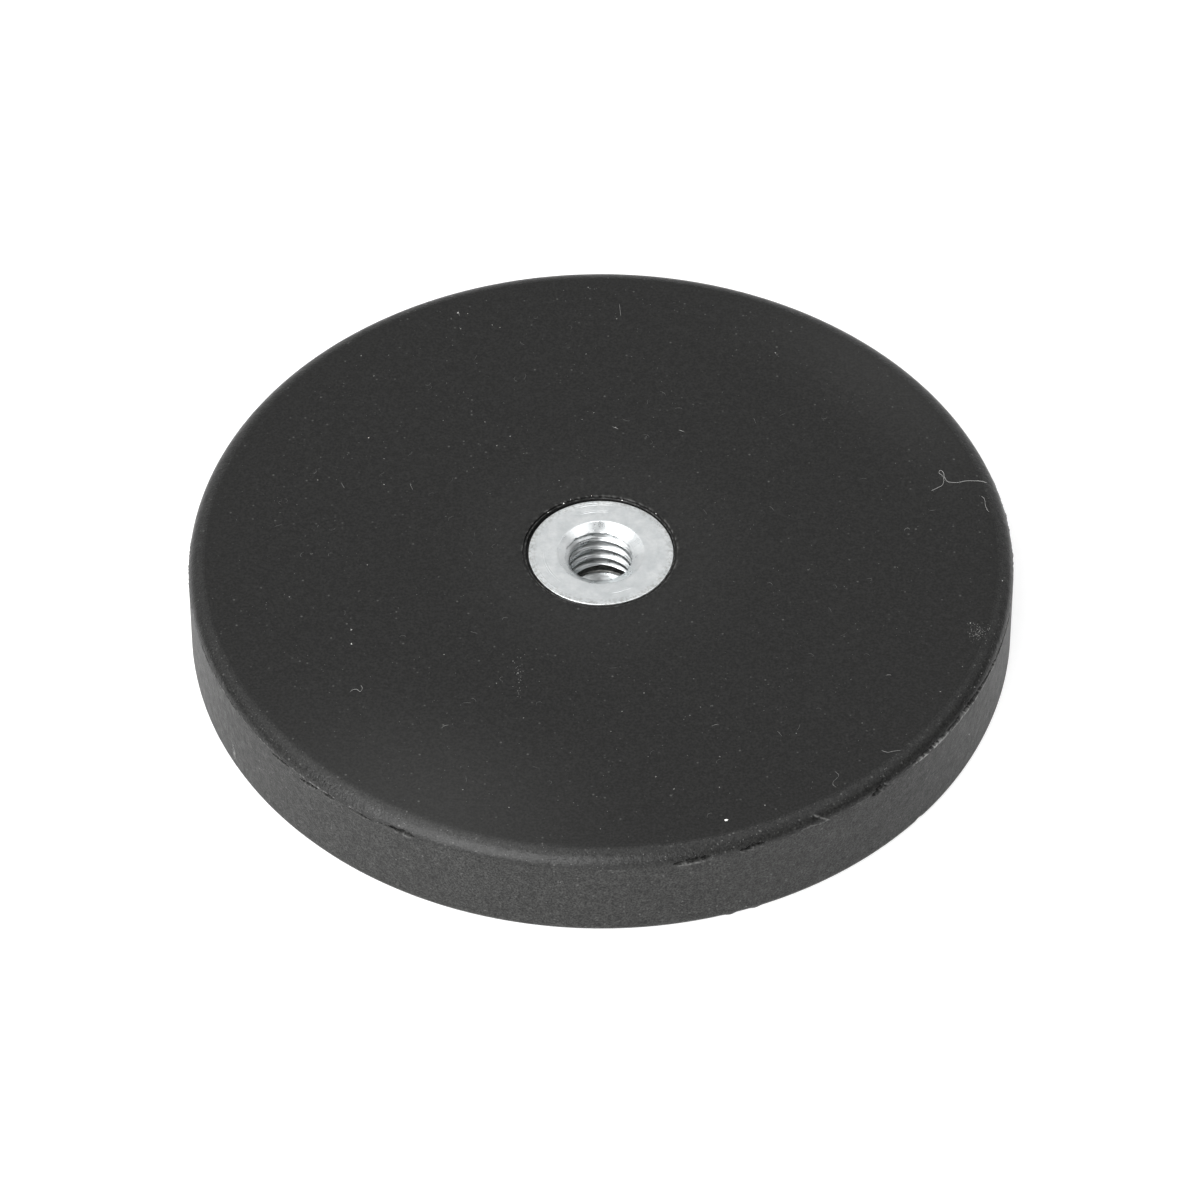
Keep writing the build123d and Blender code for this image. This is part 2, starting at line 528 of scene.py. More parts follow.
# Which of rubber_kinds each part has
top_finish = 0
wall_finish = len(rubber_kinds) - 1
last_top_row = 3  # of the edge, above its first glossier one
wall_finish_below = 7.3 * mm


def column_turns():
    turns = []
    turn = 0.0
    while turn < 360 - fine_step / 2:
        turns.append(turn)
        fine = any(start <= turn <= end for start, end in detailed_spans)
        turn += fine_step if fine else plain_step
    return np.radians(turns)


def top_height(radius):
    """Height of the top face: very slightly dished between the mouth and the edge."""
    dish = top_dish * smooth(radius, dish_start, dish_end)
    return jacket_height - dish - edge_sag * np.clip((radius - sag_start) / sag_width, 0, 1) ** 2


def top_paleness(radius, turns):
    """How pale the top face is at each angle of one ring, with the painted highlight near its edge."""
    pale = mouth_paling * smooth(-radius, -mouth_paling_end, -mouth_paling_full)
    for middle, half_width, start, share in painted_sheens:
        away = angle_between(np.degrees(turns), middle)
        pale = pale + share * np.exp(-((away / half_width) ** 2)) * smooth(radius, start * mm, sheen_end)
    return pale


def top_edge_place(tilt):
    """(radius, height) on the top edge, from 0 degrees at the top face to 90 at the wall."""
    arc_radius = wall_radius - top_edge_width
    rise = top_height(arc_radius) - seam_height
    out = sin(radians(tilt)) ** (2 / top_edge_power)
    up = cos(radians(tilt)) ** (2 / top_edge_power)
    return arc_radius + top_edge_width * out, seam_height + rise * up


def edge_rows():
    """(radius, height) down the jacket's edge, from the top face round to the holding face."""
    inner = wall_radius - top_edge_width - 0.5 * mm
    rows = [(inner, top_height(inner))]
    rows.extend(top_edge_place(tilt) for tilt in top_edge_tilts)
    rows.extend((wall_radius, height * mm) for height in wall_heights)
    for tilt in bottom_edge_tilts:
        radius = wall_radius - bottom_edge_radius * (1 - cos(radians(tilt)))
        rows.append((radius, bottom_edge_radius * (1 - sin(radians(tilt)))))
    return rows


class Edge:
    """The jacket's edge, row by row: how far out each point is moved, in mm, and how scuffed it is."""

    def __init__(self, turns, rows):
        self.angle = np.degrees(turns)[None, :]
        self.radius, height = np.array(rows).T[:, :, None] * np.ones_like(self.angle)
        self.z = height / mm
        places = [self.radius * np.cos(turns), self.radius * np.sin(turns), height]
        self.places = np.stack(places, axis=2).reshape(-1, 3)
        self.broad = self.wavy(7 * mm, 1)
        self.ragged = self.wavy(0.45 * mm, 2)
        self.crumbly = 0.75 * self.wavy(0.24 * mm, 3) + 0.55 * self.wavy(0.13 * mm, 8)
        self.patchy = self.wavy(1.4 * mm, 4)
        self.shift = 0.012 * self.broad * smooth(self.z, 7.55, 7.3)
        self.scuff_and_sheen = np.zeros(self.z.shape)

    def wavy(self, size, seed):
        return ripple(self.places, size, seed).reshape(self.z.shape)

    def add_crumbs(self):
        """Crumbs of flash along the parting line."""
        amount = sum(within(self.angle, start, end, crumbs_ramp) * share for start, end, share in crumbs)
        away = self.z - seam_line - 0.05 * self.broad - 0.05 * self.ragged
        seam = np.exp(-((away / seam_half_height) ** 2)) * amount
        self.shift += seam * seam_rise * smooth(self.crumbly, -0.1, 0.3)
        self.scuff_and_sheen += 0.2 * seam * smooth(self.crumbly, 0.05, 0.35)

    def add_tear(self, start, end, z_start, z_end, gape, depth, flash):
        """A groove with ragged sides, and the flash under it."""
        along = np.clip((self.angle - start) / (end - start), 0, 1)
        inside = np.sqrt(4 * along * (1 - along))
        middle = z_start + (z_end - z_start) * along + 0.06 * self.ragged
        uneven = np.clip(0.85 + 0.6 * self.crumbly + 0.3 * self.patchy, 0.1, 2)
        half_open = gape * uneven * inside + 1e-4
        groove = np.clip(1 - ((self.z - middle) / half_open) ** 4, 0, 1) * inside
        self.shift -= depth * groove
        away = self.z - middle + 0.8 * gape + flash_gap + 0.08 * self.ragged
        under = np.exp(-((away / flash_half_height) ** 2)) * inside * flash
        self.shift += flash_rise * under * smooth(self.crumbly, -0.3, 0.1)
        self.scuff_and_sheen += 0.7 * under * smooth(self.crumbly + 0.4 * self.patchy, -0.15, 0.25)

    def add_lump(self, at, z_at, half_turn, half_height, rise):
        """A lump, pale on its crumbs, or a nick."""
        away = angle_between(self.angle, at)
        bump = np.exp(-((away / half_turn) ** 2) - ((self.z - z_at) / half_height) ** 2)
        self.shift += rise * bump * (1 + 0.5 * self.crumbly)
        self.scuff_and_sheen += 0.6 * bump * smooth(self.crumbly, -0.1, 0.3) * (rise > 0)

    def add_scratch(self, start, z_start, end, z_end, half_width, pale):
        """A straight pale mark, measured on the unrolled wall."""
        run = np.array([radians(end - start) * wall_radius / mm, z_end - z_start])
        across = np.radians(self.angle - start) * wall_radius / mm + 0 * self.z
        away = np.stack([across, self.z - z_start])
        along = np.clip(np.tensordot(run, away, 1) / run.dot(run), 0, 1)
        gap = np.hypot(away[0] - run[0] * along, away[1] - run[1] * along)
        self.scuff_and_sheen += pale * np.exp(-((gap / half_width) ** 2)) * smooth(self.crumbly, -0.4, 0.2)


def edge_finish(number, height):
    """Finish of the strip above a row: the top's, then the rim's ever glossier ones, then the wall's."""
    if height < wall_finish_below:
        return wall_finish
    return min(max(number - last_top_row, top_finish), wall_finish - 1)


def mouth_section():
    """(outwards from the bush's head, height, how pale), from the gap's floor out to the top face."""
    swing = gap_swing * np.cos(plain_turns - radians(gap_widest_at))
    wide = mouth_gap * (gap_mean + swing)
    on_groove = smooth(np.cos(plain_turns - radians(groove_deepest_at)), 0.1, 0.7)
    groove = step_floor - mouth_groove_depth * on_groove
    return [
        (0.5 * wide, gap_floor, 0.0),
        (wide, gap_floor, 0.0),
        (wide, (gap_floor + step_floor) / 2, 0.0),
        # the pale on the step's and the lip's edges is partly pale beads of flash and partly a painted
        # highlight
        (wide, step_floor - 0.01 * mm, 0.02),
        (wide + 0.03 * mm, step_floor + 0.04 * mm, 0.15),
        (wide + 0.08 * mm, step_floor + 0.04 * mm, 0.15),
        (wide + 0.12 * mm, groove, 0.0),
        (wide + 0.21 * mm, groove, 0.0),
        (wide + 0.26 * mm, jacket_height - 0.02 * mm, 0.16),
        (wide + 0.34 * mm, jacket_height, 0.05),
        (wide + 0.45 * mm, jacket_height, 0.01),
    ]


def in_cavity(radius, height):
    """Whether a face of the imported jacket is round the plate, the magnets and the bush's neck."""
    low = magnet_bottom - pick_margin
    high = gap_floor - pick_margin
    return low < height < high and radius < plate_radius + pick_margin


def add_mouth(surface):
    """The gap round the bush, with rough beads along its mouth, pale partly from flash and partly from a
    painted highlight.
    """
    for number, (outwards, height, pale) in enumerate(mouth_section()):
        radius = head_radius + outwards
        places = ring_points(radius, height, plain_turns)
        finer = ripple(places, 0.25 * mm, 6)
        if number >= first_bead_row:
            radius = radius + 0.025 * mm * ripple(places, 0.5 * mm, 5)
            height = np.minimum(height + 0.015 * mm * finer, jacket_height)
        surface.ring(radius, height, plain_turns, top_finish, pale * smooth(finer, -0.1, 0.4))


def add_edge(surface):
    """The rounded edges and the wall, with their closer columns."""
    turns = column_turns()
    rows = edge_rows()
    edge = Edge(turns, rows)
    edge.add_crumbs()
    for tear in tears:
        edge.add_tear(*tear)
    for lump in lumps:
        edge.add_lump(*lump)
    for scratch in scratches:
        edge.add_scratch(*scratch)
    outline = np.minimum(edge.radius + edge.shift * mm, jacket_radius - flash_margin)
    scuff_and_sheen = np.clip(edge.scuff_and_sheen, 0, 1)
    for number, (radius, height) in enumerate(rows):
        on_top = smooth(height, 8.0 * mm, 8.4 * mm)
        # the top rows of the edge carry on the top face's painted highlight
        pale = np.clip(scuff_and_sheen[number] + top_paleness(radius, turns) * on_top, 0, 1)
        surface.ring(outline[number], height, turns, edge_finish(number, height), pale)


def make_jacket(finishes):
    surface = Surface()
    surface.take_faces("rubber_jacket", in_cavity, wall_finish)
    add_mouth(surface)
    for radius in top_rings:
        # the top face's rings carry the painted highlight near the edge, and the paling round the mouth
        pale = top_paleness(radius * mm, plain_turns)
        surface.ring(radius * mm, top_height(radius * mm), plain_turns, top_finish, pale)
    add_edge(surface)
    for radius in holding_face_rings:
        surface.ring(radius * mm, 0.0, plain_turns, wall_finish)
    surface.add_face(tuple(surface.last), wall_finish)
    # its pale attribute holds scuffs and flash crumbs, and the painted highlights of the top face and the
    # mouth
    jacket = surface.build("moulded_jacket", finishes, 40, "scuff_and_sheen")
    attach(jacket, "root")
    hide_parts("rubber_jacket")


# ------ bush

# One pitch of the thread, from the lower edge of a crest upwards: height and depth beyond the crest, in
# mm. The tap pressed the thread in, which leaves a fine groove near the top of each crest
thread_profile = [
    (0, 0.035), (0.03, 0.008), (0.08, 0), (0.14, 0.01), (0.2, 0.04), (0.26, 0.085),
    (0.29, 0.16), (0.315, 0.17), (0.34, 0.115), (0.37, 0.1), (0.41, 0.145),
    (0.63, 0.52), (0.66, 0.54), (0.7, 0.54), (0.73, 0.51), (0.98, 0.075), (1, 0.035),
]
thread_row_step = 0.035

# The bush's face, from its wall inwards: distance in from the wall and height below the face, in mm
face_edge = [
    (0, 0.07), (0.007, 0.04), (0.022, 0.02), (0.05, 0.008), (0.085, 0.002), (0.14, 0), (0.3, 0),
]

# Rings of the bore's floor, and the drill's shallow mark in it: place, half lengths and depth, in mm
floor_rings = [3.05, 2.95, 2.85, 2.75, 2.65, 2.55, 2.45, 2.35, 2.25, 2.1, 1.9, 1.6, 1.2, 0.8, 0.4]
drill_mark = ((0.27, 2.66), (0.72, 0.26), 0.02)

# Which of bush_finishes each part has
face_finish, bore_finish, bare_finish = range(3)


def thread_radius(height):
    """Radius of the bore's wall with a right-hand thread in it, at a height for each of bush_turns."""
    phase = (height - thread_start - thread_pitch * bush_turns / tau) / thread_pitch
    heights, depths = zip(*thread_profile)
    return bore_radius + np.interp(phase % 1.0, heights, depths) * mm


def thread_phases():
    """Heights of the grid's rows within one pitch, from the top down: every corner, and more between."""
    phases = []
    for low, high in zip(thread_profile[:-1], thread_profile[1:]):
        steps = max(1, round((high[0] - low[0]) / thread_row_step))
        phases.extend(np.linspace(low[0], high[0], steps, endpoint=False))
    return phases[::-1]


def on_outside(radius, height):
    """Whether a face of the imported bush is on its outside, below the chamfer."""
    beyond_bore = radius > relief_radius + 0.1 * mm
    return height < shell_top + pick_margin and (beyond_bore or height < bush_bottom + pick_margin)


def add_bush_face(surface):
    """Worn edge with a slight burr, then the face."""
    burr = ripple(ring_points(head_radius, bush_face, bush_turns), 0.6 * mm, 7)
    burr[-1] = burr[0]
    for inwards, below in face_edge:
        radius = head_radius - inwards * mm * (1 + 0.25 * burr)
        surface.ring(radius, bush_face - below * mm * (1 + 0.1 * burr), bush_turns, face_finish)
    for radius in np.linspace(5.2 * mm, countersink_radius + 0.12 * mm, 7):
        surface.ring(radius, bush_face, bush_turns, face_finish)
    surface.ring(countersink_radius + 0.04 * mm, bush_face - 0.004 * mm, bush_turns, face_finish)


def add_thread(surface):
    """Countersink and thread in one grid whose rows climb with the thread."""
    slope = countersink_rim / (bush_face - bore_high)
    rim_height = bush_face - countersink_top
    top_pitch = int((rim_height - thread_start) / thread_pitch)
    last_pitch = int((thread_end - thread_start) / thread_pitch) - 1
    for number in range(top_pitch, last_pitch - 1, -1):
        for phase in thread_phases():
            height = thread_start + thread_pitch * (number + phase + bush_turns / tau)
            height = np.clip(height, thread_end, rim_height)
            cone = bore_radius + (height - bore_high) * slope
            radius = np.maximum(thread_radius(height), cone)
            surface.ring(radius, height, bush_turns, bore_finish)


def add_relief(surface):
    """Relief groove below the thread."""
    surface.ring(relief_radius - relief_lip, thread_end, bush_turns, bare_finish)
    surface.ring(relief_radius, thread_end - relief_lip, bush_turns, bare_finish)
    for tilt in (0, 30, 60, 90):
        t = radians(tilt)
        radius = relief_radius - relief_corner * (1 - cos(t))
        surface.ring(radius, bore_floor + relief_corner * (1 - sin(t)), bush_turns, bare_finish)


def add_bore_floor(surface):
    """The drill's cone, cut off flat, with the drill's mark in it."""
    (mark_x, mark_y), (half_x, half_y), depth = drill_mark
    for radius in floor_rings:
        x = (radius * np.cos(bush_turns) - mark_x) / half_x
        y = (radius * np.sin(bush_turns) - mark_y) / half_y
        away = np.hypot(x, y)
        sunk = depth * smooth(-away, -1.1, -0.7) - 0.4 * depth * smooth(-away, -0.6, -0.4)
        inwards = relief_radius - relief_corner - radius * mm
        cone = max(floor_low, bore_floor - inwards * floor_slope)
        surface.ring(radius * mm, cone - sunk * mm, bush_turns, bore_finish)
    surface.add_face(tuple(surface.last[:-1]), bore_finish)


def make_bush(finishes):
    surface = Surface()
    surface.take_faces("threaded_bush", on_outside, face_finish)
    surface.ring(head_radius, shell_top + 0.01 * mm, bush_turns[:-1], face_finish)
    surface.last = None
    surface.ring(head_radius, shell_top + 0.01 * mm, bush_turns, face_finish)
    add_bush_face(surface)
    add_thread(surface)
    add_relief(surface)
    add_bore_floor(surface)
    bush = surface.build("turned_bush", finishes, 32)
    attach(bush, "root")
    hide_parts("threaded_bush")


# ------ lint and dust

# Fibres on the top face: shade from 0 to 1, and the places each passes through, x and y in mm
fibres = [
    (0.34, [(26.57, 6.84), (26.98, 7.12), (27.48, 7.51), (27.62, 8.25), (27.43, 8.65), (27.26, 8.82),
            (27.28, 9.1), (27.45, 9.15), (27.62, 8.87), (27.67, 8.42), (27.89, 7.91), (28.29, 7.79),
            (28.77, 7.81), (29.42, 7.99), (30.15, 8.01), (30.71, 7.94), (31.11, 7.74)]),
    (0.26, [(30.57, 6.27), (30.76, 6.04), (30.83, 5.71), (30.86, 5.26), (30.96, 4.8), (31.11, 4.52)]),
    (0.17, [(21.82, -21.5), (22.05, -21.65), (22.36, -21.71), (22.75, -21.6), (23.37, -21.5)]),
    (0.11, [(18.14, -23.72), (18.43, -24.12), (18.28, -24.47), (18.01, -24.81), (18, -25.17),
            (18.25, -25.41)]),
    (0.26, [(-19.68, -15.31), (-19.45, -15.08), (-19.14, -15.05), (-18.9, -15.29), (-18.75, -15.1),
            (-18.73, -14.83), (-18.84, -14.59)]),
    (0.16, [(1.52, 28.5), (1.56, 27.91), (1.64, 27.08)]),
    (0.24, [(0.92, 14.13), (1.41, 13.9)]),
    (0.24, [(6.27, 13.79), (6.76, 13.56)]),
    (0.14, [(-12.49, -19.21), (-12.22, -18.95), (-11.87, -18.84)]),
    (0.14, [(8.62, -19), (8.93, -18.82), (9.24, -18.84)]),
    (0.18, [(22.34, -13.54), (22.57, -13.48), (22.81, -13.51)]),
    (0.14, [(-15.38, 7.74), (-15.26, 7.29), (-15.13, 6.95)]),
    (0.14, [(-20.9, 7.74), (-20.77, 7.4), (-20.64, 7.17)]),
    (0.14, [(24.26, 2.34), (24.36, 2.58), (24.56, 2.67), (24.71, 2.49)]),
    (0.16, [(-11.74, 27.67), (-11.65, 27.08)]),
]
fibre_radius = 0.017 * mm
fibre_sides = 6
fibre_step = 0.08
fibre_lift = 0.2  # of its radius, above the top face

# Short faint hairs all over the top face, in mm and as shades
hair_count = 60
hair_radii = (8, 30)
hair_steps = 4
hair_step = 0.17
hair_wobble = (-0.5, 0.3)
hair_shades = (0.04, 0.12)
hair_thickness = 0.6 * fibre_radius

# The plainest specks on the top face: x and y, half width in mm, shade from 0 to 1
bright_specks = [
    (9.66, -28.83, 0.16, 1), (-11.78, 27.45, 0.07, 0.9), (29.21, -7.84, 0.05, 0.6),
    (-19.72, -8.6, 0.07, 0.6), (-19.68, -10.13, 0.07, 0.8), (-0.75, 6.26, 0.085, 1),
    (0.75, 6.26, 0.07, 0.6), (-2.45, 5.85, 0.08, 0.8), (-3, 5.4, 0.075, 0.8),
    (-4.25, 4.4, 0.06, 0.6), (1.7, 5.75, 0.07, 0.9), (4.4, 4.25, 0.06, 0.5),
]

# Smaller specks on it: x and y in mm, then how their half widths and shades vary
plain_specks = [
    (14.28, 22.72), (-18.61, -1.45), (-19.72, -8.6), (-19.68, -10.13), (-24.72, -4.99), (31.91, -3.17),
    (28.42, -12.56), (29.89, -13.27), (29.32, -14.77), (26.6, -15.26), (28, -15.74), (28.7, -19.8),
    (-10.97, 27.38), (-11.53, 25.57), (-8.94, 26), (-8.3, 25.71), (-19.63, 22.4), (-17.39, 22.45),
    (-18.54, 20.02), (-12.8, 14.87), (-9.41, 14.7), (-18.81, 12.87), (-17.52, 10.49), (-22.81, 8.06),
    (-17.46, 7.55), (-10.29, 9.49), (-7.35, 13.06), (-8.43, 11.96), (-1.22, 22.57), (-0.58, 15.76),
    (-1.54, 14.98), (1.19, 14.07), (1.29, 26.73), (-3.08, 30.12), (-1.06, 30.48), (-3.37, 8.01),
    (-12.36, -11.28), (-10.69, -25.69), (-7.11, -27.54), (-3.34, -26.8), (-0.05, -29.75), (1.64, -17.4),
    (0.77, -19.54), (4.25, -24.33), (5.65, -25.62), (9.23, -22.21), (12.67, -27.3), (9.17, -25.44),
    (6.95, -17.83), (7.79, -16.95), (3.37, -15.43), (15.22, -19.76), (-8.2, -14.4), (-6.93, -12),
    (-6.54, -13.3), (-6.44, -14.3), (-6.53, -15.2), (-6.05, -18.1),
]
plain_sizes = (0.045, 0.07)
plain_shades = (0.12, 0.4)

# Where fine dust gathers, on the top face in x and y and on the wall in degrees and height: middle,
# reach, which most crumbs are within, their number, sizes and shades
top_drifts = [
    ((29.75, -8.9), (0.95, 1.05), 110, (0.02, 0.045), (0.04, 0.3)),
    ((-6.4, -13.6), (0.4, 2.4), 40, (0.02, 0.045), (0.02, 0.25)),
]
wall_drifts = [
    ((217.4, 3.9), (3.2, 1.4), 34, (0.025, 0.06), (0.08, 0.45)),
    ((208.2, 1.8), (0.35, 0.75), 22, (0.025, 0.06), (0.5, 1)),
    ((290, 1.6), (3.5, 0.9), 12, (0.025, 0.06), (0.05, 0.35)),
]
lowest_dust = 0.9  # above the rounded bottom edge

# Fine specks all over the top face, the wall and the rounded top edge: number, sizes and shades
top_specks = (1300, (0.025, 0.05), (0.01, 0.13))
wall_specks = (170, (0.02, 0.045), (0.08, 0.5))
edge_specks = (900, (0.02, 0.045), (0.02, 0.16))
dusty_radii = (6.6, 31.3)
dusty_heights = (lowest_dust, 7.3)
dusty_tilts = (15, 86)
whole_turn = (0, tau)

# A crumb of dust is a low double pyramid: half its height and the reach of its corners, of its size
crumb_rise = 0.35
crumb_reaches = (1.0, 0.7, 1.1, 0.6, 0.9)
askew = Vector((0.31, 0.17, 0.93))  # no face that dust lies on looks this way
speck_sink = 0.01 * mm  # into the wall


def smooth_path(places, step):
    """The points at equal steps along a rounded curve through the given places."""
    places = np.array(places)
    padded = np.vstack([2 * places[0] - places[1], places, 2 * places[-1] - places[-2]])
    points = []
    for a, b, c, d in zip(padded, padded[1:], padded[2:], padded[3:]):
        count = max(2, int(np.linalg.norm(c - b) / step))
        for t in np.arange(count) / count:
            bend = 2 * a - 5 * b + 4 * c - d + t * (3 * (b - c) + d - a)
            points.append(b + 0.5 * t * (c - a + t * bend))
    points.append(places[-1])
    return np.array(points)


def add_fibre(surface, places, thickness, shade):
    """A thin round fibre along a path on the top face, tapered at both ends."""
    path = smooth_path(places, fibre_step) * mm
    heading = np.gradient(path, axis=0)
    across = np.stack([-heading[:, 1], heading[:, 0]], axis=1)
    across /= np.linalg.norm(across, axis=1)[:, None]
    taper = np.clip(np.minimum(np.arange(len(path)), np.arange(len(path))[::-1]) + 1, 0, 3) / 3
    ground = top_height(np.hypot(path[:, 0], path[:, 1]))
    lines = []
    for corner in range(fibre_sides):
        turn = tau * corner / fibre_sides
        side = path + across * (thickness * cos(turn) * taper)[:, None]
        height = np.minimum(ground + thickness * (fibre_lift + sin(turn) * taper), jacket_height)
        lines.append(surface.add_points(np.column_stack([side, height]), shade))
    for k in range(len(path) - 1):
        for here, there in zip(lines, lines[1:] + lines[:1]):
            surface.add_face((here[k], there[k], there[k + 1], here[k + 1]), 0)
    surface.add_face(tuple(line[0] for line in lines), 0)
    surface.add_face(tuple(line[-1] for line in lines), 0)


def hair_places(draw):
    """The places that a short hair passes through, bent at random."""
    turn, heading, bend = draw.uniform(0, tau, 3)
    places = [[draw.uniform(*hair_radii) * cos(turn), draw.uniform(*hair_radii) * sin(turn)]]
    for _ in range(hair_steps):
        x, y = places[-1]
        places.append([x + hair_step * cos(heading), y + hair_step * sin(heading)])
        heading += bend / tau + draw.uniform(*hair_wobble)
    return places


def make_lint(finish):
    draw = np.random.default_rng(9)
    surface = Surface()
    for shade, places in fibres:
        add_fibre(surface, places, fibre_radius, shade)
    for _ in range(hair_count):
        add_fibre(surface, hair_places(draw), hair_thickness, draw.uniform(*hair_shades))
    lint = surface.build("lint_fibres", [finish], 60, "shade")
    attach(lint, "root")


class Dust(Surface):
    """Crumbs of dust; their sizes are in mm and their shades from 0 to 1."""

    def __init__(self):
        super().__init__()
        self.draw = np.random.default_rng(5)

    def pick(self, span):
        return self.draw.uniform(*span)

    def crumb(self, middle, out, size, turn, shade):
        """A flat crumb whose flat side faces out."""
        size = size * mm
        side = askew.cross(out).normalized()
        along = out.cross(side)
        points = [middle + out * size * crumb_rise, middle - out * size * crumb_rise]
        for corner, reach in enumerate(crumb_reaches):
            a = turn + tau * corner / len(crumb_reaches)
            points.append(middle + (side * cos(a) + along * sin(a)) * size * reach)
        made = self.add_points(points, shade)
        girdle = made[2:]
        for here, there in zip(girdle, girdle[1:] + girdle[:1]):
            self.add_face((made[0], here, there), 0)
            self.add_face((made[1], there, here), 0)

    def on_top(self, x, y, size, shade):
        radius = hypot(x, y) * mm
        height = min(top_height(radius) + 0.1 * size * mm, jacket_height - 0.4 * size * mm)
        middle = Vector((x * mm, y * mm, height))
        self.crumb(middle, Vector((0, 0, 1)), size, self.pick(whole_turn), shade)

    def on_wall(self, angle, height, size, shade):
        turn = radians(angle)
        out = Vector((cos(turn), sin(turn), 0))
        height = max(height, lowest_dust) * mm
        middle = out * (wall_radius - speck_sink) + Vector((0, 0, height))
        self.crumb(middle, out, size, self.pick(whole_turn), shade)

    def on_edge(self, sizes, shades):
        """A crumb anywhere on the rounded top edge."""
        turn = self.pick(whole_turn)
        tilt = self.pick(dusty_tilts)
        radius, height = top_edge_place(tilt)
        lean = radians(tilt)
        out = Vector((cos(turn) * sin(lean), sin(turn) * sin(lean), cos(lean)))
        middle = Vector((radius * cos(turn), radius * sin(turn), height))
        self.crumb(middle, out, self.pick(sizes), self.pick(whole_turn), self.pick(shades))

    def drift(self, put, middle, reach, number, sizes, shades):
        """Dust that has gathered round one place; put is on_top or on_wall."""
        for _ in range(number):
            first = middle[0] + reach[0] * self.draw.normal(0, 0.5)
            second = middle[1] + reach[1] * self.draw.normal(0, 0.5)
            put(first, second, self.pick(sizes), self.pick(shades))

    def scatter_on_top(self, number, sizes, shades):
        inner, outer = dusty_radii
        for _ in range(number):
            x, y = self.draw.uniform(-outer, outer, 2)
            if inner < hypot(x, y) < outer:
                self.on_top(x, y, self.pick(sizes), self.pick(shades))

    def scatter_on_wall(self, number, sizes, shades):
        for _ in range(number):
            angle = self.pick((0, 360))
            self.on_wall(angle, self.pick(dusty_heights), self.pick(sizes), self.pick(shades))


def make_dust(finish):
    surface = Dust()
    for speck in bright_specks:
        surface.on_top(*speck)
    for x, y in plain_specks:
        surface.on_top(x, y, surface.pick(plain_sizes), surface.pick(plain_shades))
    for drift in top_drifts:
        surface.drift(surface.on_top, *drift)
    surface.scatter_on_top(*top_specks)
    for drift in wall_drifts:
        surface.drift(surface.on_wall, *drift)
    surface.scatter_on_wall(*wall_specks)
    number, sizes, shades = edge_specks
    for _ in range(number):
        surface.on_edge(sizes, shades)
    dust = surface.build("dust_specks", [finish], 60, "shade")
    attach(dust, "root")


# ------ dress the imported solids


def dress(node, finish):
    piece = frame["nodes"][node]
    piece.data.materials.clear()
    piece.data.materials.append(finish)


def dress_sealed_parts():
    """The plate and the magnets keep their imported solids."""
    mill_steel = plain_metal("mill_steel", (0.36, 0.36, 0.35), (0.5, 0.5, 0.49), 2 * mm, 0.4)
    nickel = plain_metal("nickel", (0.62, 0.59, 0.54), (0.7, 0.67, 0.62), 4 * mm, 0.2)
    dress("steel_plate", mill_steel)
    for node in sorted(frame["nodes"]):
        if node.startswith("magnet_"):
            dress(node, nickel)


# ------ studio

# Softboxes round the object: azimuth from +X towards +Y and elevation in degrees, width and height in
# metres, radiance
softboxes = {
    "tall_key": (237, 32, 1.05, 1.25, 6.1),
    "front": (266, 38, 0.7, 0.7, 0.6),
    "high_left": (192, 62, 0.55, 0.5, 2.4),
    "high_right": (350, 62, 0.5, 0.5, 1.6),
    "overhead": (90, 82, 0.6, 0.38, 1.7),
    "back_top": (90, 72, 1.6, 0.5, 0.85),
    "backdrop": (90, 28, 2.6, 1.2, 0.65),
    "back_left": (152, 38, 0.6, 0.6, 0.45),
    "back_right": (28, 38, 0.6, 0.6, 0.2),
}
softbox_distance = 1.0
floor_shade = 0.42
floor_glow = 0.72
floor_half = 3.0
floor_drop = 0.01 * mm  # so that the holding face doesn't lie in the floor
backdrop_height = 2.0

# The camera's distance in mm, its height above the horizon and its tilt in degrees
camera_distance = 600
camera_rise = 45.8
camera_tilt = 46.17


def glowing_look(name, shade):
    """A dull surface that also gives off an even white light."""
    light = dict(Emission_Color=(1, 1, 1), Emission_Strength=floor_glow)
    return Look(name, Roughness=0.9, Base_Color=(shade, shade, shade), **light).material


def add_scenery(name, points, faces, finish):
    mesh = bpy.data.meshes.new(name)
    mesh.from_pydata(points, [], faces)
    mesh.materials.append(finish)
    return new_object(name, mesh)


def floor_corners(height):
    half = floor_half
    return [(-half, -half, height), (half, -half, height), (half, half, height), (-half, half, height)]


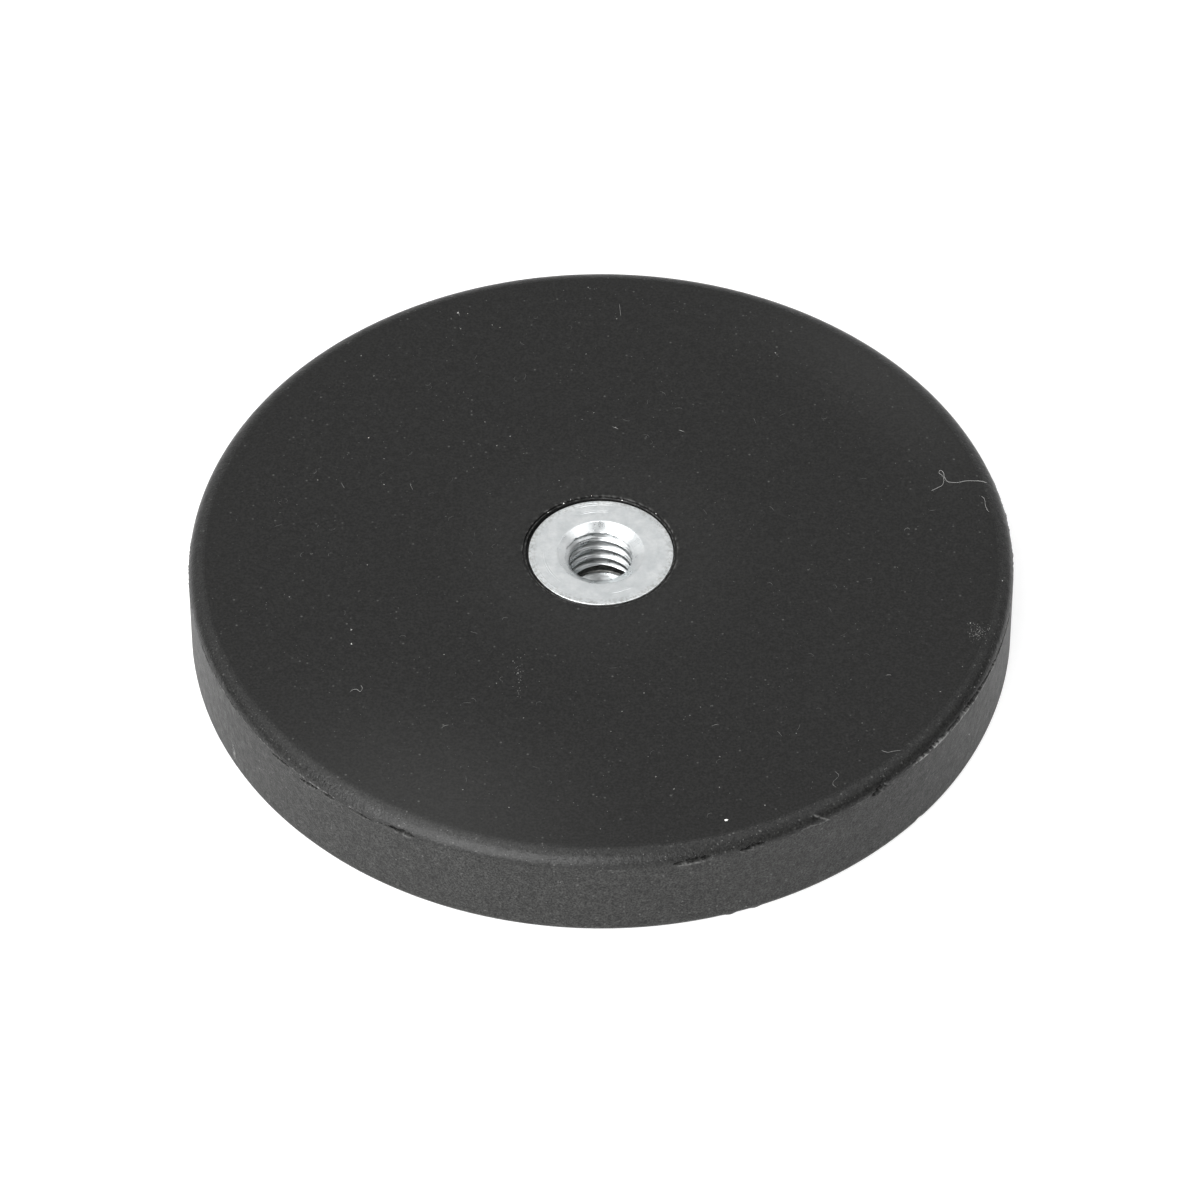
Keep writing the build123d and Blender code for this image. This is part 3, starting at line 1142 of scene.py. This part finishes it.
def make_floor():
    floor = add_scenery("floor", floor_corners(0), [(0, 1, 2, 3)], glowing_look("white_floor", floor_shade))
    floor.location.z = -floor_drop


def make_backdrop():
    """A pale wall all round, behind the lights, for low views. Only the camera sees it."""
    points = floor_corners(0) + floor_corners(backdrop_height)
    sides = [(i, (i + 1) % 4, (i + 1) % 4 + 4, i + 4) for i in range(4)]
    wall = add_scenery("backdrop", points, sides, glowing_look("pale_backdrop", 0))
    wall.visible_diffuse = False
    wall.visible_glossy = False
    wall.visible_transmission = False
    wall.visible_shadow = False


def add_softbox(name, azimuth, elevation, width, height, radiance):
    """A rectangular light of the given radiance that faces the object."""
    light = bpy.data.lights.new(name, "AREA")
    light.shape = "RECTANGLE"
    light.size = width
    light.size_y = height
    light.energy = radiance * pi * width * height
    lamp = new_object(name, light)
    a = radians(azimuth)
    e = radians(elevation)
    away = Vector((cos(a) * cos(e), sin(a) * cos(e), sin(e)))
    lamp.location = away * softbox_distance
    lamp.rotation_mode = "QUATERNION"
    lamp.rotation_quaternion = away.to_track_quat("Z", "Y")


def make_studio():
    make_floor()
    make_backdrop()
    world = bpy.data.worlds.new("studio")
    world.use_nodes = True
    world.node_tree.nodes["Background"].inputs["Strength"].default_value = 0.0
    bpy.context.scene.world = world
    for name, numbers in softboxes.items():
        add_softbox(name, *numbers)


def make_camera():
    """A long lens from the front, a little over 45 degrees above the horizon."""
    data = bpy.data.cameras.new("camera")
    data.sensor_width = 36
    data.lens = 225.6
    camera = new_object("camera", data)
    aim = Vector((-0.08 * mm, 0, jacket_height))
    rise = radians(camera_rise)
    camera.location = aim + Vector((0, -cos(rise), sin(rise))) * camera_distance * mm
    camera.rotation_euler = (radians(90 - camera_tilt), 0, 0)
    bpy.context.scene.camera = camera


bpy.context.scene.view_settings.view_transform = "Standard"

make_jacket([rubber(name, *numbers) for name, numbers in rubber_kinds.items()])
make_bush(bush_finishes())
dust_finish = dust_material()
make_lint(dust_finish)
make_dust(dust_finish)
dress_sealed_parts()
make_studio()
make_camera()
